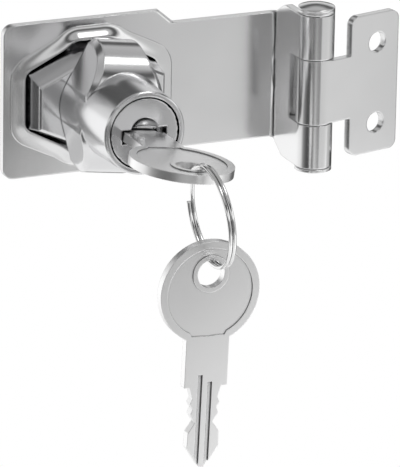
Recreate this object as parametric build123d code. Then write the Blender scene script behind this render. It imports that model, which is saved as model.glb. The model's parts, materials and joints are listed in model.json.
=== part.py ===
from build123d import *
import math
import os

# Keyed hasp lock. Origin on the lock's axis at the back of the base, +X towards the hinge,
# -Y out of the wall towards the viewer, +Z up. Millimetres. "Out" is the distance in front of
# the wall: a face at out = 5 lies at Y = -5.

# Base
BASE_T = 3.0
BASE_HALF_W = 16.5
BASE_HALF_H = 13.8
BASE_CORNER_R = 3.0
SCREW_X = 13.2
SCREW_Z = 10.8
SCREW_D = 3.6
SCREW_HEAD_D = 5.0
BOSS_OUT = 10.6
BOSS_TIP_X = 13.6
BOSS_TIP_HALF_H = 6.0
BOSS_ROOT_X = 5.0
BOSS_ROOT_HALF_H = 10.3
BOSS_TOP_X = 3.4
BOSS_TOP_HALF_H = 10.9
BOSS_DRAFT_X = 0.25
BOSS_DRAFT_Z = 1.6
BOSS_EDGE = 0.4

# Strap, one folded sheet
STRAP_T = 1.6
PAD_LEFT = 18.7
PAD_RIGHT = 14.5
PAD_HALF_H = 15.8
PAD_CORNER_R = 2.2
STEP_L = 3.3
STRAP_HALF_H = 13.0
WALL_X = 39.6
BEND_R = 0.5
FLARE_L = 4.4
FLARE_R = 3.0
KNUCKLE_HALF_H = 15.8
KNUCKLE_R = 3.7
AXIS_RISE = 11.8
NOTCH_RISE = 7.6
NOTCH_HALF_H = 6.95
KNUCKLE_PLAY = 0.15

# Slot of the strap with its drawn collar
SLOT_TIP_X = 14.9
SLOT_TIP_HALF_H = 5.6
SLOT_ROOT_X = 6.2
SLOT_ROOT_HALF_H = 10.1
SLOT_TOP_X = 4.2
SLOT_TOP_HALF_H = 12.6
SLOT_CORNER_R = 0.8
COLLAR_W = 0.9
COLLAR_H = 1.0
COLLAR_ROOT_R = 0.9
COLLAR_LIP_R = 0.5

# Leaf, swung back from the plane of the strap
LEAF_SWING = 14.0
LEAF_T = 1.6
LEAF_START = 6.2
LEAF_END = 18.2
LEAF_HALF_H = 14.45
LEAF_CORNER_R = 1.8
LEAF_NECK_HALF_H = 6.45
LEAF_HOLE_U = 12.8
LEAF_HOLE_Z = 8.4
LEAF_HOLE_D = 4.3

# Hinge pin and its caps
PIN_R = 1.9
PIN_PLAY = 0.05
CAP_RIM = 0.8
CAP_BEAD = 0.3
TOP_DOME_H = 1.5
BOTTOM_DOME_H = 0.3
PIN_IN_CAP = 0.5

# Knob
KNOB_REST = 8.0
KNOB_PLAY = 0.05
WING_TIP_Z = 13.6
WING_TIP_HALF_W = 4.46
WING_ROOT_Z = 3.9
WING_ROOT_HALF_W = 8.4
WING_ARC_R = 8.9
WING_ARC_OUT = 2.0
WING_ARC_Z = 4.5
WING_BEVEL = 0.9
BODY_BACK_R = 9.2
BODY_FRONT_R = 8.4
FACE_OUT = 32.0
RIM_EDGE = 0.25
NECK_R = 5.5
NECK_PLAY = 0.05
NECK_END_OUT = 0.4
NECK_CAVITY_R = 4.0
WEB_BACK_OUT = 10.5
WEB_FRONT_OUT = 14.0

# Plug
PLUG_R = 6.0
PLUG_PLAY = 0.05
PLUG_FACE_BACK = 0.2
HEAD_R = 7.25
HEAD_PLAY = 0.09
HEAD_T = 2.0
TAIL_R = 2.4
TAIL_PLAY = 0.08
TAIL_END_OUT = 8.6
CLIP_OUT = 9.6
CLIP_T = 0.6
CLIP_R = 3.6
CLIP_GROOVE_R = 1.9
SCOOP_R = 2.7
SCOOP_DEPTH = 0.9

# Crank pin on the plug's tail, and the bolt that it drives
CRANK_R = 0.8
CRANK_THROW = 0.92
CRANK_END_OUT = 5.2
BOLT_W = 5.0
BOLT_T = 2.4
BOLT_OUT = 5.8
BOLT_TIP_R = 5.3
BOLT_TAIL = 2.8
BOLT_PLAY = 0.06
BOLT_TRAVEL = 1.3
CRANK_PLAY = 0.1
POCKET_PLAY = 0.3
KNOB_QUARTER = 90.0

# Washer and snap ring that hold the neck in the base
RECESS_R = 8.0
RECESS_T = 2.0
WASHER_R = 7.5
WASHER_T = 0.5
CIRCLIP_R = 6.9
CIRCLIP_T = 0.8
CIRCLIP_GROOVE_R = 4.9
CLIP_PLAY = 0.05
CLIP_MOUTH = 50.0

# Wafers
WAFER_COUNT = 5
WAFER_T = 1.0
WAFER_PITCH = 1.6
WAFER_FIRST = 2.2
WAFER_HALF_L = 5.35
WAFER_HALF_W = 2.6
WAFER_PLAY = 0.05
WAFER_TRAVEL = 0.5
WINDOW_HALF_L = 3.9
WINDOW_HALF_W = 1.15
GROOVE_R = 6.9
GROOVE_HALF_W = 2.95

# Keys, measured from the step between shoulder and blade
KEY_T = 1.8
KEY_LOW = 0.8
KEY_STEP_IN = 0.5
BOW_R = 10.25
KEY_HOLE_R = 2.8
KEY_HOLE_EDGE = 6.5
SHOULDER_HALF_W = 4.45
SHOULDER_L = 10.1
BLADE_L = 16.4
PANEL_R = 8.8
PANEL_DEPTH = 0.2
PANEL_TAB_HALF_W = 4.2
PANEL_TAB_TOP = 7.2
PANEL_TAB_LOW = 8.7
HOLE_RING_R = 3.75
BLADE_GROOVE_W = 0.9
BLADE_GROOVE_DEPTH = 0.35
BLADE_PLAY = 0.15
KEYWAY_PLAY = 0.1

# Split ring through the key's hole, and the spare key that hangs on it
RING_MEAN_R = 9.9
WIRE_R = 0.4
WIRE_PITCH = 0.84
RING_CROSSOVER = 16.0
RING_CROSSOVER_AT = 100.0
RING_HOLE_X = 1.2
RING_OUT = 6.3
RING_DROP = 7.5
RING_LEAN = 6.0
SPARE_X = 1.2
SPARE_DROP = 1.45
SPARE_LEAN = 2.0

# Places that follow from the sizes above
STRAP_OUT = BASE_T + STRAP_T
AXIS_X = WALL_X + KNUCKLE_R
AXIS_OUT = STRAP_OUT + AXIS_RISE
NOTCH_OUT = STRAP_OUT + NOTCH_RISE
BORE_R = NECK_R + NECK_PLAY
KNOB_BACK_OUT = BOSS_OUT + KNOB_PLAY
PLUG_FACE_OUT = FACE_OUT - PLUG_FACE_BACK
HEAD_BACK_OUT = PLUG_FACE_OUT - HEAD_T
KEY_STEP_OUT = PLUG_FACE_OUT - KEY_STEP_IN
BOW_CENTRE = SHOULDER_L - 0.35 + math.sqrt(BOW_R ** 2 - SHOULDER_HALF_W ** 2)
KEY_HOLE_AT = BOW_CENTRE + BOW_R - KEY_HOLE_EDGE
CIRCLIP_OUT = RECESS_T - WASHER_T - CLIP_PLAY - CIRCLIP_T
CRANK_REST = CRANK_THROW * math.sin(math.radians(45))


def front(out, x=0.0, z=0.0):
    """Plane at a distance in front of the wall, drawn as seen from the front."""
    return Plane(origin=(x, -out, z), x_dir=(1, 0, 0), z_dir=(0, -1, 0))


def slab(shape, out_0, out_1):
    """Flat piece drawn from the front, from out_0 to out_1."""
    return extrude(front(out_0) * shape, amount=out_1 - out_0)


def disc(radius, out_0, out_1, x=0.0, z=0.0):
    """Round piece on a front-to-back axis."""
    return slab(Pos(x, z) * Circle(radius), out_0, out_1)


def bar(x_0, x_1, half_z, out_0, out_1, z=0.0):
    """Straight bar that runs along X, level with the lock's axis or z above it."""
    return slab(Pos((x_0 + x_1) / 2, z) * Rectangle(x_1 - x_0, 2 * half_z), out_0, out_1)


def pillar(radius, z_0, z_1, x=0.0, y=0.0):
    """Round piece on an upright axis."""
    return extrude(Plane(origin=(x, y, z_0)) * Circle(radius), amount=z_1 - z_0)


def closed(points):
    """Face inside a closed line through the points."""
    return make_face(Polyline(*points, close=True))


def four_ways(quarter):
    """Face whose outline is one quarter's points, mirrored left to right and top to bottom."""
    right = quarter + [(x, -y) for x, y in reversed(quarter)]
    return closed(right + [(-x, y) for x, y in reversed(right)])


def turned(piece, degrees):
    """Clockwise turn about the lock's axis, as seen from the front."""
    return piece.rotate(Axis((0, 0, 0), (0, 1, 0)), degrees)


def boss():
    """Fixed hexagonal boss, smaller at its front, that the strap's slot drops over."""
    outlines = []
    for out, slim_x, slim_z in ((BASE_T, 0, 0), (BOSS_OUT, BOSS_DRAFT_X, BOSS_DRAFT_Z)):
        quarter = [
            (BOSS_TOP_X - slim_x, BOSS_TOP_HALF_H - slim_z * 1.3),
            (BOSS_ROOT_X - slim_x, BOSS_ROOT_HALF_H - slim_z * 1.3),
            (BOSS_TIP_X - slim_x, BOSS_TIP_HALF_H - slim_z),
        ]
        outlines.append(front(out) * four_ways(quarter))
    piece = loft(outlines, ruled=True)
    return chamfer(piece.faces().sort_by(Axis.Y)[0].edges(), BOSS_EDGE)


def bolt_pocket():
    """Room for the tip of the thrown bolt."""
    reach = BOLT_TIP_R + BOLT_TRAVEL + POCKET_PLAY
    low = BOLT_OUT - POCKET_PLAY
    high = BOLT_OUT + BOLT_T + POCKET_PLAY
    return bar(0, reach, BOLT_W / 2 + POCKET_PLAY, low, high)


def base_body():
    piece = slab(RectangleRounded(2 * BASE_HALF_W, 2 * BASE_HALF_H, BASE_CORNER_R), 0, BASE_T) + boss()
    piece -= disc(BORE_R, -1, BOSS_OUT + 1)
    piece -= disc(RECESS_R, -1, RECESS_T)
    sink = (SCREW_HEAD_D - SCREW_D) / 2
    for x in (-SCREW_X, SCREW_X):
        for z in (-SCREW_Z, SCREW_Z):
            piece -= disc(SCREW_D / 2, -1, BASE_T + 1, x, z)
            head = [front(BASE_T - sink, x, z) * Circle(SCREW_D / 2), front(BASE_T, x, z) * Circle(SCREW_HEAD_D / 2)]
            piece -= loft(head)
    for angle in (0, KNOB_REST / 2, KNOB_REST, KNOB_QUARTER):
        piece -= turned(bolt_pocket(), angle)
    return piece


def slot_outline(grow):
    """Slot of the strap, grown all round by an offset."""
    face = four_ways([
        (SLOT_TOP_X, SLOT_TOP_HALF_H),
        (SLOT_ROOT_X, SLOT_ROOT_HALF_H),
        (SLOT_TIP_X, SLOT_TIP_HALF_H),
    ])
    if grow:
        face = offset(face, grow, kind=Kind.INTERSECTION)
    return fillet(face.vertices(), SLOT_CORNER_R)


def pad_outline():
    """Strap seen from the front, before its fold."""
    upper = [
        (-PAD_LEFT, PAD_HALF_H),
        (PAD_RIGHT, PAD_HALF_H),
        (PAD_RIGHT + STEP_L, STRAP_HALF_H),
        (WALL_X + 2 * STRAP_T, STRAP_HALF_H),
    ]
    face = closed(upper + [(x, -z) for x, z in reversed(upper)])
    return fillet(face.vertices().filter_by_position(Axis.X, -PAD_LEFT - 0.1, -PAD_LEFT + 0.1), PAD_CORNER_R)


def strap_section():
    """Section of the folded sheet, seen from above: pad, bend and wall."""
    outer = BEND_R + STRAP_T
    right = WALL_X + STRAP_T
    return make_face([
        Line((-PAD_LEFT, -BASE_T), (right - outer, -BASE_T)),
        RadiusArc((right - outer, -BASE_T), (right, -BASE_T - outer), outer),
        Line((right, -BASE_T - outer), (right, -AXIS_OUT)),
        Line((right, -AXIS_OUT), (WALL_X, -AXIS_OUT)),
        Line((WALL_X, -AXIS_OUT), (WALL_X, -STRAP_OUT - BEND_R)),
        RadiusArc((WALL_X, -STRAP_OUT - BEND_R), (WALL_X - BEND_R, -STRAP_OUT), -BEND_R),
        Line((WALL_X - BEND_R, -STRAP_OUT), (-PAD_LEFT, -STRAP_OUT)),
        Line((-PAD_LEFT, -STRAP_OUT), (-PAD_LEFT, -BASE_T)),
    ])


def wall_outline():
    """Folded wall seen from its side: narrow at the fold, flared up to the knuckles."""
    flare = STRAP_OUT + FLARE_L
    upper = [(0, STRAP_HALF_H), (STRAP_OUT, STRAP_HALF_H), (flare, KNUCKLE_HALF_H), (AXIS_OUT + 1, KNUCKLE_HALF_H)]
    face = closed(upper + [(out, -z) for out, z in reversed(upper)])
    bends = face.vertices().filter_by_position(Axis.X, STRAP_OUT - 0.1, flare + 0.1)
    return fillet(bends, FLARE_R)


def hasp_strap():
    sheet = extrude(Plane(origin=(0, 0, -PAD_HALF_H)) * strap_section(), amount=2 * PAD_HALF_H)
    crease = WALL_X - BEND_R
    flat_part = sheet & slab(pad_outline(), 0, AXIS_OUT) & Pos(crease - 50, 0, 0) * Box(100, 100, 100)
    side = Plane(origin=(crease, 0, 0), x_dir=(0, -1, 0), z_dir=(-1, 0, 0))
    wall = sheet & extrude(side * wall_outline(), amount=-10)
    piece = flat_part + wall
    for low, high in ((MIDDLE_HALF_H + KNUCKLE_PLAY, KNUCKLE_HALF_H), (-KNUCKLE_HALF_H, -MIDDLE_HALF_H - KNUCKLE_PLAY)):
        piece += pillar(KNUCKLE_R, low, high, AXIS_X, -AXIS_OUT)
    notch = AXIS_OUT + KNUCKLE_R + 1 - NOTCH_OUT
    piece -= Pos(AXIS_X, -NOTCH_OUT - notch / 2, 0) * Box(3 * KNUCKLE_R, notch, 2 * MIDDLE_HALF_H + 2 * KNUCKLE_PLAY)
    piece -= pillar(PIN_R, -2 * PAD_HALF_H, 2 * PAD_HALF_H, AXIS_X, -AXIS_OUT)
    piece += slab(slot_outline(COLLAR_W), STRAP_OUT - STRAP_T / 2, STRAP_OUT + COLLAR_H)
    lip = [f for f in piece.faces() if abs(f.center().Y + STRAP_OUT + COLLAR_H) < 0.01][0]
    root = piece.edges().filter_by(
        lambda e: abs(e.center().Y + STRAP_OUT) < 0.01 and abs(e.center().Z) < PAD_HALF_H - 1
        and abs(e.center().X) < SLOT_TIP_X + 2 * COLLAR_W)
    piece = fillet(root, COLLAR_ROOT_R)
    lip = [f for f in piece.faces() if abs(f.center().Y + STRAP_OUT + COLLAR_H) < 0.01][0]
    piece = fillet(lip.edges(), COLLAR_LIP_R)
    return piece - slab(slot_outline(0), 0, BOSS_OUT)


MIDDLE_HALF_H = NOTCH_HALF_H - 2 * KNUCKLE_PLAY


def hinge_leaf():
    """Leaf drawn in the plane of the strap about the pin, then swung back."""
    middle = -KNUCKLE_R + LEAF_T / 2
    plate = Pos((LEAF_START + LEAF_END) / 2, middle, 0) * Box(LEAF_END - LEAF_START, LEAF_T, 2 * LEAF_HALF_H)
    plate = fillet(plate.edges().filter_by(Axis.Y), LEAF_CORNER_R)
    neck = Pos((LEAF_START + 1) / 2, middle, 0) * Box(LEAF_START + 1, LEAF_T, 2 * LEAF_NECK_HALF_H)
    piece = plate + neck + pillar(KNUCKLE_R, -MIDDLE_HALF_H, MIDDLE_HALF_H)
    piece -= pillar(PIN_R + PIN_PLAY, -2 * MIDDLE_HALF_H, 2 * MIDDLE_HALF_H)
    for z in (-LEAF_HOLE_Z, LEAF_HOLE_Z):
        piece -= disc(LEAF_HOLE_D / 2, 0, KNUCKLE_R + 1, LEAF_HOLE_U, z)
    return Pos(AXIS_X, -AXIS_OUT, 0) * Rot(0, 0, LEAF_SWING) * piece


def hinge_pin():
    reach = KNUCKLE_HALF_H + PIN_IN_CAP
    return pillar(PIN_R, -reach, reach, AXIS_X, -AXIS_OUT)


def pin_cap(dome):
    """Turned cap on an end of the pin: a groove at its foot, a bead, then a round dome of the given height."""
    foot = KNUCKLE_HALF_H
    edge = foot + CAP_RIM
    dome_r = (KNUCKLE_R ** 2 + dome ** 2) / (2 * dome)
    dome_mid = edge + dome - dome_r
    halfway = math.radians(90 - math.degrees(math.asin(KNUCKLE_R / dome_r)) / 2)
    profile = make_face([
        Line((0, foot), (KNUCKLE_R - CAP_BEAD, foot)),
        Line((KNUCKLE_R - CAP_BEAD, foot), (KNUCKLE_R, foot + CAP_BEAD)),
        Line((KNUCKLE_R, foot + CAP_BEAD), (KNUCKLE_R, edge)),
        ThreePointArc((KNUCKLE_R, edge), (dome_r * math.cos(halfway), dome_mid + dome_r * math.sin(halfway)),
                      (0, edge + dome)),
        Line((0, edge + dome), (0, foot)),
    ])
    return revolve(Plane.XZ * profile, Axis.Z) - pillar(PIN_R, foot - 1, foot + PIN_IN_CAP)


def pin_top_cap():
    return Pos(AXIS_X, -AXIS_OUT, 0) * pin_cap(TOP_DOME_H)


def pin_bottom_cap():
    return Pos(AXIS_X, -AXIS_OUT, 0) * pin_cap(BOTTOM_DOME_H).mirror(Plane.XY)


def knob_wings():
    """Two wings: a long hexagon from the front, cut by a round nose above and below."""
    block = slab(four_ways([(WING_TIP_HALF_W, WING_TIP_Z), (WING_ROOT_HALF_W, WING_ROOT_Z)]),
                 KNOB_BACK_OUT, KNOB_BACK_OUT + 2 * WING_ARC_R)
    arc_out = KNOB_BACK_OUT + WING_ARC_OUT
    tip = arc_out + WING_ARC_R
    back_z = WING_ARC_Z + math.sqrt(WING_ARC_R ** 2 - WING_ARC_OUT ** 2)
    half = WING_ARC_R * math.sqrt(0.5)
    nose = make_face([
        Line((KNOB_BACK_OUT, 0), (KNOB_BACK_OUT, back_z)),
        ThreePointArc((KNOB_BACK_OUT, back_z), (arc_out + half, WING_ARC_Z + half), (tip, WING_ARC_Z)),
        Line((tip, WING_ARC_Z), (tip, 0)),
        Line((tip, 0), (KNOB_BACK_OUT, 0)),
    ])
    side = Plane(origin=(2 * WING_ROOT_HALF_W, 0, 0), x_dir=(0, -1, 0), z_dir=(-1, 0, 0))
    cutter = extrude(side * nose, amount=4 * WING_ROOT_HALF_W)
    if cutter.bounding_box().max.Z < WING_ARC_Z:
        cutter = cutter.mirror(Plane.XY)
    piece = block & (cutter + cutter.mirror(Plane.XY))
    curved = [e for e in piece.edges() if e.geom_type != GeomType.LINE]
    return chamfer(curved, WING_BEVEL)


def snap_ring(outer, inner, out_0, out_1):
    """Flat spring ring with an open mouth towards +X."""
    piece = disc(outer, out_0, out_1) - disc(inner, out_0 - 1, out_1 + 1)
    half = math.radians(CLIP_MOUTH / 2)
    far = 2 * outer
    mouth = closed([(0, 0), (far * math.cos(half), far * math.sin(half)), (far * math.cos(half), -far * math.sin(half))])
    return piece - slab(mouth, out_0 - 1, out_1 + 1)


def wafer_out(index):
    """Front face of a wafer."""
    return HEAD_BACK_OUT - WAFER_FIRST + WAFER_T - index * WAFER_PITCH


def knob_body():
    piece = loft([front(KNOB_BACK_OUT) * Circle(BODY_BACK_R), front(FACE_OUT) * Circle(BODY_FRONT_R)])
    piece = chamfer(piece.faces().sort_by(Axis.Y)[0].edges(), RIM_EDGE)
    piece += knob_wings()
    piece += disc(NECK_R, NECK_END_OUT, KNOB_BACK_OUT + 1)
    piece -= disc(NECK_CAVITY_R, NECK_END_OUT - 1, WEB_BACK_OUT)
    piece -= disc(TAIL_R + TAIL_PLAY, 0, WEB_FRONT_OUT)
    piece -= disc(PLUG_R + PLUG_PLAY, WEB_FRONT_OUT, FACE_OUT + 1)
    piece -= disc(HEAD_R + HEAD_PLAY, HEAD_BACK_OUT, FACE_OUT + 1)
    low = wafer_out(WAFER_COUNT - 1) - WAFER_T - WAFER_PLAY
    groove = bar(0, GROOVE_R, GROOVE_HALF_W, low, wafer_out(0) + WAFER_PLAY)
    piece -= groove + turned(groove, KNOB_QUARTER)
    window = bar(0, 2 * NECK_R, BOLT_W / 2 + BOLT_PLAY, BOLT_OUT - BOLT_PLAY, BOLT_OUT + BOLT_T + BOLT_PLAY)
    piece -= window
    seat_0 = CIRCLIP_OUT - CLIP_PLAY
    seat_1 = CIRCLIP_OUT + CIRCLIP_T + CLIP_PLAY
    piece -= disc(2 * NECK_R, seat_0, seat_1) - disc(CIRCLIP_GROOVE_R, seat_0, seat_1)
    return turned(piece, KNOB_REST)


def neck_washer():
    return disc(WASHER_R, RECESS_T - WASHER_T, RECESS_T) - disc(BORE_R, 0, RECESS_T + 1)


def neck_circlip():
    piece = snap_ring(CIRCLIP_R, CIRCLIP_GROOVE_R, CIRCLIP_OUT, CIRCLIP_OUT + CIRCLIP_T)
    return turned(piece, KNOB_REST)


def lock_plug():
    piece = disc(HEAD_R, HEAD_BACK_OUT, PLUG_FACE_OUT)
    piece = chamfer(piece.faces().sort_by(Axis.Y)[0].edges(), RIM_EDGE)
    piece += disc(PLUG_R, WEB_FRONT_OUT, HEAD_BACK_OUT)
    piece += disc(TAIL_R, TAIL_END_OUT, WEB_FRONT_OUT)
    piece += disc(CRANK_R, CRANK_END_OUT, TAIL_END_OUT, -CRANK_REST, CRANK_REST)
    piece -= disc(2 * CLIP_R, CLIP_OUT, CLIP_OUT + CLIP_T) - disc(CLIP_GROOVE_R, CLIP_OUT, CLIP_OUT + CLIP_T)
    half_t = KEY_T / 2 + BLADE_PLAY
    mouth = SHOULDER_HALF_W + KEYWAY_PLAY
    piece -= bar(-mouth, mouth, half_t, KEY_STEP_OUT, FACE_OUT + 1, -KEY_LOW)
    channel = key_half_width() + BLADE_PLAY
    piece -= bar(-channel, channel, half_t, KEY_STEP_OUT - BLADE_L - BLADE_PLAY, FACE_OUT + 1, -KEY_LOW)
    scoop = disc(SCOOP_R, PLUG_FACE_OUT - SCOOP_DEPTH, FACE_OUT + 1, 0, -KEY_LOW)
    piece -= scoop & slab(Pos(0, SCOOP_R - KEY_LOW) * Rectangle(3 * SCOOP_R, 2 * SCOOP_R), 0, 2 * FACE_OUT)
    for index in range(WAFER_COUNT):
        out = wafer_out(index)
        room = bar(-2 * PLUG_R, 2 * PLUG_R, WAFER_HALF_W + WAFER_PLAY, out - WAFER_T - WAFER_PLAY, out + WAFER_PLAY)
        piece -= room
    return turned(piece, KNOB_REST)


def plug_clip():
    piece = snap_ring(CLIP_R, CLIP_GROOVE_R, CLIP_OUT, CLIP_OUT + CLIP_T)
    return turned(piece, KNOB_REST)


def lock_bolt():
    """Flat bolt with a cross slot for the crank pin and a tip rounded to the neck."""
    piece = bar(-BOLT_TAIL, NECK_R, BOLT_W / 2, BOLT_OUT, BOLT_OUT + BOLT_T)
    piece &= disc(BOLT_TIP_R, BOLT_OUT, BOLT_OUT + BOLT_T)
    half = CRANK_R + CRANK_PLAY
    slot = Pos(-CRANK_REST, CRANK_REST) * SlotOverall(2 * half + 2 * CRANK_THROW - CRANK_REST, 2 * half, rotation=90)
    piece -= slab(slot, BOLT_OUT - 1, BOLT_OUT + BOLT_T + 1)
    return turned(piece, KNOB_REST)


def wafer(index):
    out = wafer_out(index)
    piece = bar(-WAFER_HALF_L, WAFER_HALF_L, WAFER_HALF_W, out - WAFER_T, out)
    piece -= bar(-WINDOW_HALF_L, WINDOW_HALF_L, WINDOW_HALF_W, out - WAFER_T - 1, out + 1, -KEY_LOW)
    return turned(piece, KNOB_REST)


# Half widths of the blade from the step to the tip: double cuts, a waist and an arrow point
BLADE_CUTS = [
    (0.0, 3.3), (2.3, 2.6), (3.4, 3.1), (4.4, 2.45), (5.5, 2.9),
    (7.3, 1.85), (9.3, 3.2), (12.3, 3.3), (15.4, 1.2), (BLADE_L, 0.5),
]


def key_half_width():
    return max(half for depth, half in BLADE_CUTS)


def key_blank():
    """Flat key, drawn with its blade down and its step at the origin, front face towards -Y."""
    blade = closed([(-w, -d) for d, w in BLADE_CUTS] + [(w, -d) for d, w in reversed(BLADE_CUTS)])
    shoulder = Pos(0, SHOULDER_L / 2) * Rectangle(2 * SHOULDER_HALF_W, SHOULDER_L)
    outline = Pos(0, BOW_CENTRE) * Circle(BOW_R) + shoulder + blade
    half = KEY_T / 2
    piece = slab(outline, -half, half)
    panel = Circle(PANEL_R) + closed([
        (-PANEL_TAB_HALF_W, -PANEL_TAB_TOP), (-PANEL_TAB_HALF_W + 0.8, -PANEL_TAB_LOW),
        (PANEL_TAB_HALF_W - 0.8, -PANEL_TAB_LOW), (PANEL_TAB_HALF_W, -PANEL_TAB_TOP)])
    panel = Pos(0, BOW_CENTRE) * panel - Pos(0, KEY_HOLE_AT) * Circle(HOLE_RING_R)
    piece -= slab(panel, half - PANEL_DEPTH, half + 1)
    piece -= slab(panel, -half - 1, -half + PANEL_DEPTH)
    piece -= disc(KEY_HOLE_R, -half - 1, half + 1, 0, KEY_HOLE_AT)
    for x, top in ((-1.2, 2.4), (0.85, 0.9)):
        groove = Pos(x, (top - BLADE_L) / 2) * Rectangle(BLADE_GROOVE_W, BLADE_L + top)
        piece -= slab(groove, half - BLADE_GROOVE_DEPTH, half + 1)
    return piece


def key_in_lock():
    """Key laid flat with its blade in the plug: its front face up."""
    piece = Pos(0, -KEY_STEP_OUT, -KEY_LOW) * Rot(90, 0, 0) * key_blank()
    return turned(piece, KNOB_REST)


def hole_place():
    """Middle of the hole of the key in the lock."""
    turn = math.radians(KNOB_REST)
    return -KEY_LOW * math.sin(turn), KEY_STEP_OUT + KEY_HOLE_AT, -KEY_LOW * math.cos(turn)


def ring_centre():
    """Middle of the split ring, which leans about the place where it goes through the hole."""
    x, out, z = hole_place()
    lean = math.radians(RING_LEAN)
    return x + RING_HOLE_X + RING_DROP * math.tan(lean), -(out + RING_OUT), z - RING_DROP


def ring_foot():
    """Lowest point of the ring's middle line, where the spare key hangs."""
    x, y, z = ring_centre()
    lean = math.radians(RING_LEAN)
    return x + RING_MEAN_R * math.sin(lean), y, z - RING_MEAN_R * math.cos(lean)


def ring_point(degrees, side):
    """Point of the ring's middle line about its own axis, and the way it runs there."""
    angle = math.radians(degrees)
    place = Vector(RING_MEAN_R * math.cos(angle), RING_MEAN_R * math.sin(angle), side)
    return place, Vector(-math.sin(angle), math.cos(angle), 0)


def split_ring():
    """Two turns of wire side by side about an axis along X, joined by one slanted crossover."""
    half = WIRE_PITCH / 2
    turn = 360 - RING_CROSSOVER
    section = Plane.XZ * Pos(RING_MEAN_R, 0) * Circle(WIRE_R)
    coil = revolve(section, Axis.Z, turn)
    coil = coil.move(Location((0, 0, -half))) + coil.moved(Location((0, 0, 2 * half)))
    start, start_way = ring_point(turn, -half)
    end, end_way = ring_point(360, half)
    path = Spline(start, end, tangents=[start_way, end_way])
    coil += sweep(Plane(origin=start, z_dir=start_way) * Circle(WIRE_R), path=path)
    x, y, z = ring_centre()
    return Pos(x, y, z) * Rot(0, -RING_LEAN, 0) * Rot(0, 90, 0) * Rot(0, 0, RING_CROSSOVER_AT) * coil


def spare_key():
    x, y, z = ring_foot()
    key = Pos(0, 0, -KEY_HOLE_AT) * key_blank()
    return Pos(x - SPARE_X, y, z - SPARE_DROP) * Rot(0, SPARE_LEAN, 0) * key


if __name__ == "__main__":
    os.makedirs("parts", exist_ok=True)
    pieces = {
        "base_body": base_body(),
        "hasp_strap": hasp_strap(),
        "hinge_leaf": hinge_leaf(),
        "hinge_pin": hinge_pin(),
        "pin_top_cap": pin_top_cap(),
        "pin_bottom_cap": pin_bottom_cap(),
        "knob_body": knob_body(),
        "neck_washer": neck_washer(),
        "neck_circlip": neck_circlip(),
        "lock_plug": lock_plug(),
        "plug_clip": plug_clip(),
        "lock_bolt": lock_bolt(),
        "key_in_lock": key_in_lock(),
        "split_ring": split_ring(),
        "spare_key": spare_key(),
    }
    for number in range(WAFER_COUNT):
        pieces[f"wafer_{number + 1}"] = wafer(number)
    for name, piece in pieces.items():
        export_step(piece, f"parts/{name}.step")
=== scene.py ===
import bmesh
import bpy
import json
import math
import numpy as np
from mathutils import Matrix, Vector


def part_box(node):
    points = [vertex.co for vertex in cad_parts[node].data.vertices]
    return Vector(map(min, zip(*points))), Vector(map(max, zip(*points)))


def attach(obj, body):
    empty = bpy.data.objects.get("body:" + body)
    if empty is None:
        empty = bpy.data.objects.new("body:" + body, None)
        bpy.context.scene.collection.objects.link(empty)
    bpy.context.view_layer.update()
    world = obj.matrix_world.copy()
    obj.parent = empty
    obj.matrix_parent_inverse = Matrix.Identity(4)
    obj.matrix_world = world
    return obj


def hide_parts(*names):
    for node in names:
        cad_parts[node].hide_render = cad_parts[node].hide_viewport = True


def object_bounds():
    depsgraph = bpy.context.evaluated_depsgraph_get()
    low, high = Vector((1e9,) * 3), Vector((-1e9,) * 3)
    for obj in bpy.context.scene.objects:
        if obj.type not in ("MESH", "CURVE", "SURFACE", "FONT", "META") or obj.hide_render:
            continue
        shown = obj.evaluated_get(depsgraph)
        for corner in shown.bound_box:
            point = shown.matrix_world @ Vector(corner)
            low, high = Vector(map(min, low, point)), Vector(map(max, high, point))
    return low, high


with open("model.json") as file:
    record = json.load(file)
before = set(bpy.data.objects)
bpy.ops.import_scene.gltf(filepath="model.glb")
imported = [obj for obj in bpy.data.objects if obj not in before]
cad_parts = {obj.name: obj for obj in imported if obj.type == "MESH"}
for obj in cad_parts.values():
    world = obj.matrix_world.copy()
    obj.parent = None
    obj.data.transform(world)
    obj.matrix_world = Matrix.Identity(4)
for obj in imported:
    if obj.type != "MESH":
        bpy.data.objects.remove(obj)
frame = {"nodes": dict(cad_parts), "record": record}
cadLow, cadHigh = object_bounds()
perMetre = 1000  # the sizes of the pieces are in mm, and the scene is in metres
print("frame loaded", len(frame["nodes"]), "pieces")


# A shader socket that takes part in sums: each operator adds one Math node
class Wire:
    def __init__(self, tree, socket):
        self.tree = tree
        self.socket = socket

    def sum(self, operation, first, second):
        return self.node("ShaderNodeMath", {"operation": operation}, {0: first, 1: second})

    def __add__(self, other):
        return self.sum("ADD", self, other)

    def __radd__(self, other):
        return self.sum("ADD", other, self)

    def __sub__(self, other):
        return self.sum("SUBTRACT", self, other)

    def __rsub__(self, other):
        return self.sum("SUBTRACT", other, self)

    def __mul__(self, other):
        return self.sum("MULTIPLY", self, other)

    def __rmul__(self, other):
        return self.sum("MULTIPLY", other, self)

    # Adds a node: settings first, then values or wires for its sockets, and gives back one output
    def node(self, kind, settings, inputs, output=0):
        made = self.tree.nodes.new(kind)
        for name, value in settings.items():
            if name == "stops":
                ramp = made.color_ramp
                while len(ramp.elements) < len(value):
                    ramp.elements.new(0.5)
                for stop, (place, level) in zip(ramp.elements, value):
                    stop.position = place
                    stop.color = (level, level, level, 1)
            else:
                setattr(made, name, value)
        for name, value in inputs.items():
            if isinstance(value, Wire):
                self.tree.links.new(value.socket, made.inputs[name])
            else:
                made.inputs[name].default_value = value
        return Wire(self.tree, made.outputs[output]) if len(made.outputs) else None


# Clears the nodes of a material or world and gives back a wire to start from
def emptyTree(owner):
    owner.use_nodes = True
    owner.node_tree.nodes.clear()
    return Wire(owner.node_tree, None)


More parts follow.
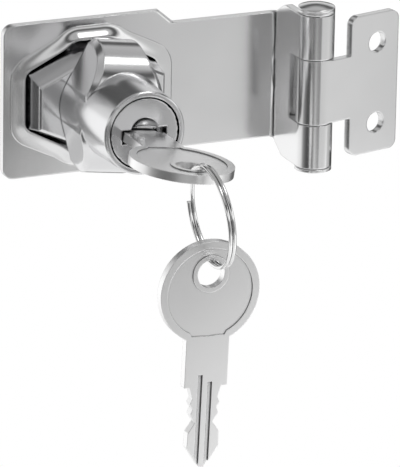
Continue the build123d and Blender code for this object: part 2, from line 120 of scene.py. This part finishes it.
# Metals. cloud is a wide soft unevenness and grain the fine marks of polishing, with their scales per
# metre; wave and grain are how far each of them raises the surface, and edge the radius of its rounded
# edges in metres. film says how closed a corner has to be for the painted shade that darkens its colour:
# wholly dark at the first share of open sky, wholly unshaded at the second
platedCasting = {
    "colour": (0.80, 0.80, 0.805), "deep": (0.70, 0.70, 0.71), "roughness": 0.16, "spread": 0.06,
    "cloudScale": 45.0, "grainScale": (900.0, 240.0, 900.0), "grain": 0.012, "wave": 0.06, "edge": 0.00045,
    "film": (0.15, 0.70),
}
platedSheet = {
    "colour": (0.86, 0.86, 0.86), "deep": (0.60, 0.60, 0.605), "roughness": 0.17, "spread": 0.07,
    "cloudScale": 28.0, "grainScale": (260.0, 900.0, 900.0), "grain": 0.010, "wave": 0.10, "edge": 0.00035,
    "film": (0.12, 0.62),
}
satinKey = {
    "colour": (0.92, 0.92, 0.92), "deep": (0.86, 0.86, 0.86), "roughness": 0.30, "spread": 0.05,
    "cloudScale": 60.0, "grainScale": (700.0, 700.0, 700.0), "grain": 0.015, "wave": 0.02, "edge": 0.0002,
    "film": (0.36, 0.90),
}
brightWire = {
    "colour": (0.86, 0.86, 0.86), "deep": (0.78, 0.78, 0.78), "roughness": 0.08, "spread": 0.03,
    "cloudScale": 80.0, "grainScale": (900.0, 900.0, 900.0), "grain": 0.0, "wave": 0.005, "edge": 0.00005,
    "film": (0.1, 0.6),
}
plainSteel = {
    "colour": (0.56, 0.56, 0.57), "deep": (0.45, 0.45, 0.46), "roughness": 0.34, "spread": 0.08,
    "cloudScale": 60.0, "grainScale": (900.0, 900.0, 300.0), "grain": 0.02, "wave": 0.03, "edge": 0.0002,
    "film": (0.12, 0.62),
}
waferBrass = {
    "colour": (0.78, 0.58, 0.27), "deep": (0.62, 0.44, 0.18), "roughness": 0.32, "spread": 0.08,
    "cloudScale": 90.0, "grainScale": (900.0, 300.0, 900.0), "grain": 0.02, "wave": 0.02, "edge": 0.0002,
    "film": (0.12, 0.62),
}

# Painted shade: colour darkened in gaps and corners where shade falls, and how far it reaches in metres
paintedCreviceShade = {"colour": (0.07, 0.07, 0.075), "reach": 0.0012, "samples": 8}

# What the marks of all the metals share; height is in metres
marks = {
    "cloudDetail": 3.0, "grainSize": 6.0, "grainDetail": 4.0, "strength": 0.35, "height": 0.0006,
    "edgeSamples": 6,
}


# Metal whose gloss and colour drift a little, with rounded edges, fine polishing marks and painted shade in
# its gaps and corners
def metal(name, look):
    made = bpy.data.materials.new(name)
    start = emptyTree(made)
    place = start.node("ShaderNodeTexCoord", {}, {}, "Object")
    cloud = start.node("ShaderNodeTexNoise", {}, {
        "Vector": place, "Scale": look["cloudScale"], "Detail": marks["cloudDetail"]}, "Fac")
    stretched = start.node("ShaderNodeMapping", {}, {"Vector": place, "Scale": look["grainScale"]})
    grain = start.node("ShaderNodeTexNoise", {}, {
        "Vector": stretched, "Scale": marks["grainSize"], "Detail": marks["grainDetail"]}, "Fac")
    roughness = look["roughness"] + (cloud - 0.5) * look["spread"] + (grain - 0.5) * look["spread"]
    colour = start.node("ShaderNodeMix", {"data_type": "RGBA"}, {
        0: cloud, 6: (*look["deep"], 1), 7: (*look["colour"], 1)}, 2)
    # Painted shade: the colour goes towards the dark shade colour where little open sky is near, in gaps and
    # corners
    openSky = start.node("ShaderNodeAmbientOcclusion", {"samples": paintedCreviceShade["samples"]}, {
        "Distance": paintedCreviceShade["reach"]}, "AO")
    unshaded = start.node("ShaderNodeMapRange", {"interpolation_type": "SMOOTHSTEP"}, {
        "Value": openSky, "From Min": look["film"][0], "From Max": look["film"][1]})
    colour = start.node("ShaderNodeMix", {"data_type": "RGBA"}, {
        0: unshaded, 6: (*paintedCreviceShade["colour"], 1), 7: colour}, 2)
    rounded = start.node("ShaderNodeBevel", {"samples": marks["edgeSamples"]}, {"Radius": look["edge"]})
    height = cloud * look["wave"] + grain * look["grain"]
    bump = start.node("ShaderNodeBump", {}, {
        "Strength": marks["strength"], "Distance": marks["height"], "Height": height, "Normal": rounded})
    surface = start.node("ShaderNodeBsdfPrincipled", {}, {
        "Base Color": colour, "Roughness": roughness, "Metallic": 1.0, "Normal": bump})
    start.node("ShaderNodeOutputMaterial", {}, {"Surface": surface})
    return made


finishes = {
    "cast_chrome": metal("platedCasting", platedCasting),
    "plated_sheet": metal("platedSheet", platedSheet),
    "key_nickel": metal("satinKey", satinKey),
    "spring_steel": metal("plainSteel", plainSteel),
    "pin_steel": metal("pinSteel", plainSteel),
    "wafer_brass": metal("waferBrass", waferBrass),
    "wire": metal("brightWire", brightWire),
}
slotOf = {part["node"]: part["material_slot"] for part in frame["record"]["subparts"]}
for node, piece in frame["nodes"].items():
    piece.data.materials.clear()
    piece.data.materials.append(finishes["wire" if node == "split_ring" else slotOf[node]])
print("metals set")


# Piece from points in mm and faces
def newPiece(name, points, faces):
    mesh = bpy.data.meshes.new(name)
    mesh.from_pydata((points / perMetre).tolist(), [], faces.tolist())
    piece = bpy.data.objects.new(name, mesh)
    bpy.context.scene.collection.objects.link(piece)
    return piece


# Smooth piece with its metal, that moves with a body
def metalPiece(name, points, faces, body, finish):
    piece = newPiece(name, points, faces)
    piece.data.shade_smooth()
    piece.data.materials.append(finishes[finish])
    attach(piece, body)
    return piece


# Quads between the rows of a grid of rows x columns points, whose columns close into a ring and,
# where loop is true, whose rows do too
def gridFaces(rows, columns, loop):
    row, column = np.meshgrid(np.arange(rows if loop else rows - 1), np.arange(columns), indexing="ij")
    here = row * columns
    after = (row + 1) % rows * columns
    beside = (column + 1) % columns
    corners = (here + column, here + beside, after + beside, after + column)
    return np.stack(corners, axis=-1).reshape(-1, 4)


weld = 1e-6  # points closer than this, in metres, are one


# Merges doubled points, closes holes and turns every face outwards
def tidyMesh(piece):
    work = bmesh.new()
    work.from_mesh(piece.data)
    bmesh.ops.remove_doubles(work, verts=work.verts, dist=weld)
    bmesh.ops.holes_fill(work, edges=[edge for edge in work.edges if edge.is_boundary])
    bmesh.ops.recalc_face_normals(work, faces=work.faces)
    work.to_mesh(piece.data)
    work.free()


# Tidied copy of a solid's mesh under a new name
def copyOf(node, name):
    copied = bpy.data.objects.new(name, frame["nodes"][node].data.copy())
    bpy.context.scene.collection.objects.link(copied)
    tidyMesh(copied)
    return copied


# Points of a piece in mm, one row for each
def pointsOf(piece):
    flat = np.empty(3 * len(piece.data.vertices), dtype=np.float32)
    piece.data.vertices.foreach_get("co", flat)
    return flat.reshape(-1, 3) * perMetre


# Puts such points back
def setPoints(piece, place):
    piece.data.vertices.foreach_set("co", (place / perMetre).ravel())
    piece.data.update()


# Drawn collar of the strap's slot, in mm. quarter is the outline of its inner edge from the top to the
# side. rise and narrowing are what the height gains and the width loses at the slot's top and bottom,
# surface is how far the sheet's face stands out, and the plain values press the solid's own collar
collar = {
    "quarter": ((4.0, 11.7), (6.0, 9.9), (14.0, 5.7)), "corner": 4, "points": 288, "upright": 3,
    "height": 0.27, "rise": 1.05, "width": 3.3, "narrowing": 0.6, "lip": 0.22, "lipRows": 7,
    "fallRows": 22, "fallShape": 0.72, "proud": 0.01, "surface": 4.6, "sunk": 0.3,
    "plainHeight": 0.2, "plainWidth": 0.95, "plainBox": (17.2, 14.6), "plainCorner": (15.0, 9.0),
}


# Outline: the octagon walked at even steps, its corners rounded by a running mean, then moved out along
# its normals by d. Height over d: a round lip, then half a cosine wave down to the sheet. It is taller
# and narrower towards the slot's top and bottom
def makeCollar(look):
    quarter = np.array(look["quarter"])
    right = np.concatenate([quarter, quarter[::-1] * (1, -1)])
    octagon = np.concatenate([right, right[::-1] * (-1, 1)])
    closedLine = np.concatenate([octagon, octagon[:1]])
    walked = np.concatenate([[0], np.cumsum(np.hypot(*np.diff(closedLine, axis=0).T))])
    steps = np.linspace(0, walked[-1], look["points"], endpoint=False)
    line = np.stack([np.interp(steps, walked, closedLine[:, axis]) for axis in (0, 1)], axis=1)
    reach = look["corner"]
    line = sum(np.roll(line, shift, axis=0) for shift in range(-reach, reach + 1)) / (2 * reach + 1)
    along = np.roll(line, -1, axis=0) - np.roll(line, 1, axis=0)
    outward = np.stack([-along[:, 1], along[:, 0]], axis=1) / np.hypot(*along.T)[:, None]
    upright = (np.abs(line[:, 1]) / quarter[0, 1]) ** look["upright"]
    height = look["height"] + look["rise"] * upright
    width = look["width"] - look["narrowing"] * upright
    lip = look["lip"]
    bend = np.linspace(0, math.pi / 2, look["lipRows"])
    fall = np.linspace(0, 1, look["fallRows"])[1:]
    away = [np.zeros_like(width)] + [lip * (1 - math.cos(a)) + 0 * width for a in bend]
    tall = [-look["sunk"] + 0 * width] + [height - lip * (1 - math.sin(a)) for a in bend]
    away += [lip + (width - lip) * f for f in fall] + [width]
    tall += [height * (0.5 + 0.5 * math.cos(math.pi * f ** look["fallShape"])) + look["proud"] for f in fall]
    tall += [-look["sunk"] + 0 * width]
    rows = []
    for far, up in zip(away, tall):
        place = line + outward * np.asarray(far)[:, None]
        rows.append(np.stack([place[:, 0], -look["surface"] - up, place[:, 1]], axis=1))
    points = np.concatenate(rows)
    faces = gridFaces(len(rows), len(line), True)
    metalPiece("strap_collar", points, faces, "base", "plated_sheet")


makeCollar(collar)


# Copy of the strap whose plain collar is pressed flatter and narrower, so that the drawn one covers it
def makeStrap(look):
    strap = copyOf("hasp_strap", "folded_strap")
    place = pointsOf(strap)
    aside, up = np.abs(place[:, 0]), np.abs(place[:, 2])
    wide, tall = look["plainBox"]
    wideCorner, tallCorner = look["plainCorner"]
    near = (aside < wide) & (up < tall) & ((aside < wideCorner) | (up < tallCorner))
    proud = near & (place[:, 1] < -look["surface"])
    place[proud, 1] = -look["surface"] + (place[proud, 1] + look["surface"]) * look["plainHeight"]
    place[near, 0] *= look["plainWidth"]
    setPoints(strap, place)
    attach(strap, "base")
    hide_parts("hasp_strap")


makeStrap(collar)

# Cap of the hinge pin, as heights above the knuckle's end and radii, in mm. pole is the radius at which
# its middle closes
cap = {
    "axis": (43.3, -16.4), "foot": 15.8, "around": 96, "pole": 0.01,
    "profile": (
        (0.0, 0.0), (0.0, 3.5), (0.1, 3.5), (0.16, 3.68), (0.2, 3.7), (0.66, 3.7), (0.7, 3.68), (0.75, 3.58),
        (0.84, 3.58), (0.89, 3.68), (0.93, 3.7), (1.20, 3.7), (1.28, 3.66), (1.34, 3.56), (1.40, 3.40),
        (1.52, 3.0), (1.68, 2.4), (1.82, 1.8), (1.92, 1.2), (1.98, 0.6), (2.0, 0.0),
    ),
}


# Each row is a circle about the pin, at the profile's height and radius
def makeCap(look):
    turn = np.linspace(0, 2 * math.pi, look["around"], endpoint=False)
    x, y = look["axis"]
    rows = []
    for height, radius in look["profile"]:
        radius = max(radius, look["pole"])
        level = look["foot"] + height + 0 * turn
        rows.append(np.stack([x + radius * np.cos(turn), y + radius * np.sin(turn), level], axis=1))
    points = np.concatenate(rows)
    faces = gridFaces(len(rows), look["around"], False)
    piece = metalPiece("top_cap", points, faces, "base", "plated_sheet")
    tidyMesh(piece)
    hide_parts("pin_top_cap")


makeCap(cap)

# Split ring: two turns side by side in mm, that swap sides over a short stretch. Angles in degrees from
# the ring's foot towards the wall
coil = {
    "radius": 9.9, "halfThick": 0.38, "halfWide": 0.4, "pitch": 0.83, "lean": 6.0, "endAt": 90.0,
    "swapFrom": 106.0, "swap": 30.0, "steps": 420, "around": 16,
}


# Centre line: a circle whose sideways place goes smoothly from one turn's to the other's. The section
# is an ellipse across it
def makeSplitRing(look):
    low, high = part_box("split_ring")
    middle = np.array((low + high) / 2) * perMetre
    angle = np.linspace(look["swapFrom"] + look["swap"], look["endAt"] + 720, look["steps"])
    part = np.clip((angle - look["swapFrom"] - 360) / look["swap"], 0, 1)
    side = look["pitch"] * (0.5 - part * part * (3 - 2 * part))
    turn = np.radians(angle)[:, None]
    across = np.linspace(0, 2 * math.pi, look["around"], endpoint=False)[None, :]
    radius = look["radius"] + look["halfThick"] * np.cos(across)
    aside = side[:, None] + look["halfWide"] * np.sin(across)
    back = radius * np.sin(turn)
    up = -radius * np.cos(turn)
    lean = math.radians(look["lean"])
    x = aside * math.cos(lean) - up * math.sin(lean)
    z = aside * math.sin(lean) + up * math.cos(lean)
    points = np.stack([x, back + 0 * x, z], axis=-1).reshape(-1, 3) + middle
    faces = gridFaces(look["steps"], look["around"], False)
    piece = metalPiece("key_ring", points, faces, "ring", "wire")
    tidyMesh(piece)
    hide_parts("split_ring")


makeSplitRing(coil)

# Keyway's mouth and thumb scoop, cut into a copy of the plug whose head is a little smaller, in mm
mouth = {
    "low": (-4.7, -33.0, -1.9), "high": (4.7, -29.6, 0.95), "scoopAt": (0.0, -33.0, 0.2), "scoopRadius": 3.2,
    "scoopRows": 25, "scoopAround": 48, "headBack": 29.7, "headFrom": 7.0, "headScale": 0.975,
}


# Takes a closed form out of another
def carve(piece, cutter):
    tidyMesh(cutter)
    cut = piece.modifiers.new("cut", "BOOLEAN")
    cut.object = cutter
    cut.operation = "DIFFERENCE"
    cut.solver = "EXACT"
    solid = bpy.data.meshes.new_from_object(piece.evaluated_get(bpy.context.evaluated_depsgraph_get()))
    piece.modifiers.clear()
    piece.data = solid
    bpy.data.objects.remove(cutter)


# The box's corners come from its lowest and highest; the scoop is a ball, rows of circles from pole to pole
def makePlug(look):
    plug = copyOf("lock_plug", "plug_with_mouth")
    place = pointsOf(plug)
    rim = (np.hypot(place[:, 0], place[:, 2]) > look["headFrom"]) & (place[:, 1] < -look["headBack"])
    place[rim] *= (look["headScale"], 1, look["headScale"])
    setPoints(plug, place)
    low, high = np.array(look["low"]), np.array(look["high"])
    corner = np.array([(x, y, z) for x in (0, 1) for y in (0, 1) for z in (0, 1)])
    sides = np.array([(0, 1, 3, 2), (4, 6, 7, 5), (0, 4, 5, 1), (2, 3, 7, 6), (0, 2, 6, 4), (1, 5, 7, 3)])
    carve(plug, newPiece("mouth", low + corner * (high - low), sides))
    fall = np.linspace(0, math.pi, look["scoopRows"])[:, None]
    turn = np.linspace(0, 2 * math.pi, look["scoopAround"], endpoint=False)[None, :]
    across = (np.sin(fall) * np.cos(turn), np.cos(fall) + 0 * turn, np.sin(fall) * np.sin(turn))
    ball = np.stack(across, axis=-1).reshape(-1, 3)
    points = np.array(look["scoopAt"]) + look["scoopRadius"] * ball
    carve(plug, newPiece("scoop", points, gridFaces(look["scoopRows"], look["scoopAround"], False)))
    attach(plug, "plug")
    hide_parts("lock_plug")


makePlug(mouth)
print("collar, cap, ring and keyway made")


# Camera, in mm and degrees. Its focal length is in pixels of an image of the given width, its film in mm
# and what it sees from nearest to farthest in metres
lens = {
    "place": (-391.1, -950.2, 315.9), "yaw": 23.704, "pitch": 18.616, "roll": 1.012, "focal": 5399.0,
    "width": 400, "film": 36.0, "nearest": 0.01, "farthest": 20.0,
}


# Turned by yaw and pitch from looking along +Y, then rolled about its own axis
def makeCamera(look):
    yaw = math.radians(look["yaw"])
    pitch = math.radians(look["pitch"])
    roll = math.radians(look["roll"])
    ahead = Vector((math.sin(yaw) * math.cos(pitch), math.cos(yaw) * math.cos(pitch), -math.sin(pitch)))
    across = Vector((math.cos(yaw), -math.sin(yaw), 0))
    above = across.cross(ahead)
    right = across * math.cos(roll) + above * math.sin(roll)
    top = above * math.cos(roll) - across * math.sin(roll)
    data = bpy.data.cameras.new("camera")
    data.sensor_fit = "HORIZONTAL"
    data.sensor_width = look["film"]
    data.lens = look["film"] * look["focal"] / look["width"]
    data.clip_start = look["nearest"]
    data.clip_end = look["farthest"]
    camera = bpy.data.objects.new("camera", data)
    turn = Matrix((right, top, -ahead)).transposed()
    camera.matrix_world = Matrix.Translation(Vector(look["place"]) / perMetre) @ turn.to_4x4()
    bpy.context.scene.collection.objects.link(camera)
    bpy.context.scene.camera = camera


makeCamera(lens)

# Studio round the object. levels is the brightness by compass direction in degrees, 0 straight in
# front, 180 behind, right is positive. ceiling is the brightness by height, from level at 0 to straight
# above at 1, and takes over between ceilingFrom and ceilingTo. The rays in plainTo see plain white
studio = {
    "levels": [
        (-180, 1.0), (-150, 1.2), (-108, 0.95), (-92, 0.30), (-70, 0.09), (-40, 0.10), (-26, 0.36),
        (-6, 0.30), (14, 0.24), (44, 0.24), (66, 0.30), (88, 0.08), (118, 0.06), (158, 0.10),
        (170, 0.6), (180, 1.0),
    ],
    "ceiling": [
        (0.0, 0.9), (0.22, 0.85), (0.35, 0.66), (0.44, 0.08), (0.58, 0.10), (0.68, 0.6), (1.0, 0.35),
    ],
    "ceilingFrom": 0.02, "ceilingTo": 0.16, "plainTo": ("Is Camera Ray", "Is Transmission Ray"),
}
plainWhite = (1.0, 1.0, 1.0, 1.0)


# 1 for the rays of the given kinds, 0 for the others
def raysOf(start, kinds):
    return sum(start.node("ShaderNodeLightPath", {}, {}, kind) for kind in kinds)


# The compass direction is the angle of a ray seen from above, turned into 0 to 1 for the ramp
def makeWorld(look):
    world = bpy.data.worlds.new("studio")
    bpy.context.scene.world = world
    start = emptyTree(world)
    way = start.node("ShaderNodeTexCoord", {}, {}, "Generated")
    parts = [start.node("ShaderNodeSeparateXYZ", {}, {"Vector": way}, axis) for axis in "XYZ"]
    compass = start.sum("ARCTAN2", parts[0], parts[1] * -1.0) * (0.5 / math.pi) + 0.5
    stops = [(angle / 360 + 0.5, level) for angle, level in look["levels"]]
    level = start.node("ShaderNodeValToRGB", {"stops": stops}, {"Fac": compass})
    ceiling = start.node("ShaderNodeValToRGB", {"stops": look["ceiling"]}, {"Fac": parts[2]})
    high = start.node("ShaderNodeMapRange", {"interpolation_type": "SMOOTHSTEP"}, {
        "Value": parts[2], "From Min": look["ceilingFrom"], "From Max": look["ceilingTo"]})
    seen = start.node("ShaderNodeMix", {"data_type": "RGBA"}, {0: high, 6: level, 7: ceiling}, 2)
    plain = raysOf(start, look["plainTo"])
    colour = start.node("ShaderNodeMix", {"data_type": "RGBA"}, {0: plain, 6: seen, 7: plainWhite}, 2)
    light = start.node("ShaderNodeBackground", {}, {"Color": colour, "Strength": 1.0})
    start.node("ShaderNodeOutputWorld", {}, {"Surface": light})


makeWorld(studio)

# Soft boxes: the way to each from the lock, how far off and how large it is in metres, and its brightness
softBoxes = {
    "topBox": {"way": (0.38, -0.34, 0.86), "far": 0.6, "size": (0.30, 0.15), "level": 3.5},
    "lowBox": {"way": (0.34, -0.72, -0.60), "far": 0.36, "size": (0.60, 0.20), "level": 0.55},
    "sideBox": {"way": (0.804, -0.532, -0.269), "far": 0.179, "size": (0.24, 0.24), "level": 0.46},
}


# A lamp's energy is its brightness times its area and pi
def makeSoftBox(name, look):
    data = bpy.data.lights.new(name, "AREA")
    data.shape = "RECTANGLE"
    data.size, data.size_y = look["size"]
    data.energy = look["level"] * math.pi * data.size * data.size_y
    lamp = bpy.data.objects.new(name, data)
    way = Vector(look["way"]).normalized()
    lamp.location = way * look["far"]
    lamp.visible_camera = False
    lamp.rotation_mode = "QUATERNION"
    lamp.rotation_quaternion = (-way).to_track_quat("-Z", "Y")
    bpy.context.scene.collection.objects.link(lamp)


for name, look in softBoxes.items():
    makeSoftBox(name, look)

# Pale floor below the object, in metres. Its middle keeps a shadow, because the rays in plainTo see it
# only partly white there, and it fades to plain white towards its rim
floor = {
    "half": 0.19, "drop": 0.12, "colour": 0.8, "white": 0.9, "fadeFrom": 0.05, "fadeTo": 0.14,
    "plainTo": ("Is Camera Ray", "Is Glossy Ray", "Is Transmission Ray"),
}


def makeFloor(look):
    mesh = bpy.data.meshes.new("floor")
    half = look["half"]
    corners = [(-half, -half, 0), (half, -half, 0), (half, half, 0), (-half, half, 0)]
    mesh.from_pydata(corners, [], [(0, 1, 2, 3)])
    piece = bpy.data.objects.new("floor", mesh)
    piece.location = (0, 0, cadLow.z - look["drop"])
    bpy.context.scene.collection.objects.link(piece)
    made = bpy.data.materials.new("paleFloor")
    start = emptyTree(made)
    plain = raysOf(start, look["plainTo"])
    place = start.node("ShaderNodeTexCoord", {}, {}, "Object")
    away = start.node("ShaderNodeVectorMath", {"operation": "LENGTH"}, {0: place}, "Value")
    whiteness = start.node("ShaderNodeMapRange", {"interpolation_type": "SMOOTHSTEP"}, {
        "Value": away, "From Min": look["fadeFrom"], "From Max": look["fadeTo"], "To Min": look["white"]})
    shade = start.node("ShaderNodeBsdfDiffuse", {}, {"Color": (look["colour"],) * 3 + (1,)})
    white = start.node("ShaderNodeEmission", {}, {"Color": plainWhite, "Strength": 1.0})
    mixed = start.node("ShaderNodeMixShader", {}, {0: plain * whiteness, 1: shade, 2: white})
    start.node("ShaderNodeOutputMaterial", {}, {"Surface": mixed})
    mesh.materials.append(made)


makeFloor(floor)
print("studio lit")

bpy.context.scene.view_settings.view_transform = "Standard"
